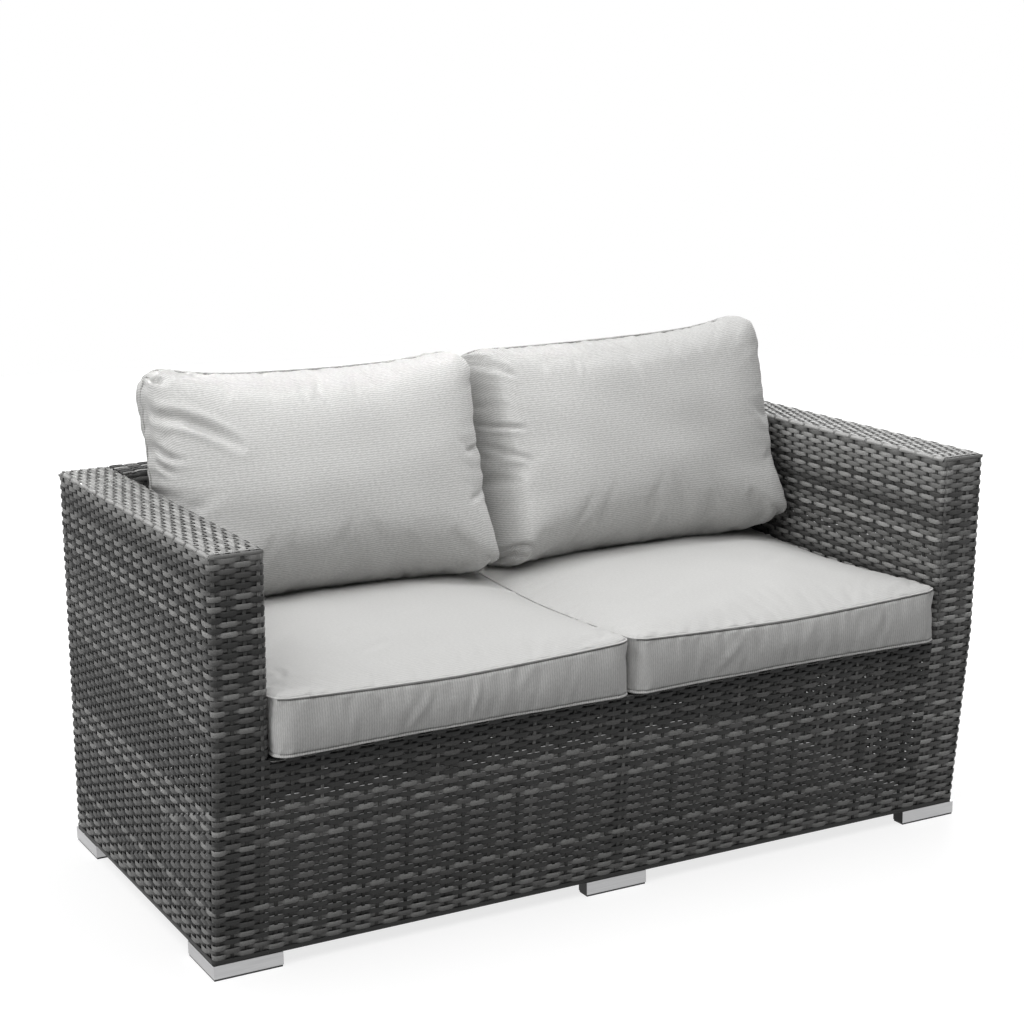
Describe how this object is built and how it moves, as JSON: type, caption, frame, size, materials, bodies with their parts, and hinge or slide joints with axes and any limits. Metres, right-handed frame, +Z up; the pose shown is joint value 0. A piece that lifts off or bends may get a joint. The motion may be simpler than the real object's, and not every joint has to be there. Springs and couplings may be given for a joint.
{
  "type": "garden sofa",
  "caption": "Woven garden sofa with square arms on low metal feet, loose boxed seat cushions and leaning back cushions.",
  "frame": {"origin": "on the floor, under the middle of the sofa's box", "axes": "+X to the right as seen from the front, along the width; +Y from the front to the back; +Z up"},
  "size_m": [1.45, 0.7674, 0.866],
  "materials": {
    "weave": "flat strand weave in mixed greys",
    "frame": "satin powder coat",
    "foot": "satin",
    "glide": "matte",
    "cushion": "fine canvas weave"
  },
  "bodies": {
    "sofa_body": {"back_inner_weave": "weave", "back_left_post": "frame", "back_middle_post": "frame", "back_outer_weave": "weave", "back_right_post": "frame", "back_top_rail": "frame", "back_top_weave": "weave", "front_apron_weave": "weave", "front_bottom_rail": "frame", "front_left_foot": "foot", "front_left_glide": "glide", "front_middle_foot": "foot", "front_middle_glide": "glide", "front_middle_post": "frame", "front_right_foot": "foot", "front_right_glide": "glide", "front_seat_rail": "frame", "left_arm_bottom_rail": "frame", "left_arm_front_leg": "frame", "left_arm_front_weave": "weave", "left_arm_inner_weave": "weave", "left_arm_middle_post": "frame", "left_arm_outer_weave": "weave", "left_arm_rear_leg": "frame", "left_arm_rear_weave": "weave", "left_arm_seat_rail": "frame", "left_arm_top_rail": "frame", "left_arm_top_weave": "weave", "rear_bottom_rail": "frame", "rear_left_foot": "foot", "rear_left_glide": "glide", "rear_middle_foot": "foot", "rear_middle_glide": "glide", "rear_right_foot": "foot", "rear_right_glide": "glide", "rear_seat_rail": "frame", "right_arm_bottom_rail": "frame", "right_arm_front_leg": "frame", "right_arm_front_weave": "weave", "right_arm_inner_weave": "weave", "right_arm_middle_post": "frame", "right_arm_outer_weave": "weave", "right_arm_rear_leg": "frame", "right_arm_rear_weave": "weave", "right_arm_seat_rail": "frame", "right_arm_top_rail": "frame", "right_arm_top_weave": "weave", "seat_bar_1": "frame", "seat_bar_2": "frame", "seat_bar_3": "frame", "seat_bar_4": "frame", "seat_bar_5": "frame", "seat_deck_weave": "weave"},
    "left_seat": {"left_seat_cushion": "cushion"},
    "right_seat": {"right_seat_cushion": "cushion"},
    "left_back": {"left_back_cushion": "cushion"},
    "right_back": {"right_back_cushion": "cushion"}
  },
  "joints": [
    {"name": "left_seat_lift", "type": "slide", "parent": "sofa_body", "child": "left_seat", "axis": [0, 0, 1], "range_m": [0, 0.36]},
    {"name": "right_seat_lift", "type": "slide", "parent": "sofa_body", "child": "right_seat", "axis": [0, 0, 1], "range_m": [0, 0.36]},
    {"name": "left_back_lift", "type": "slide", "parent": "left_seat", "child": "left_back", "axis": [0, 0, 1], "range_m": [0, 0.26]},
    {"name": "right_back_lift", "type": "slide", "parent": "right_seat", "child": "right_back", "axis": [0, 0, 1], "range_m": [0, 0.26]}
  ]
}
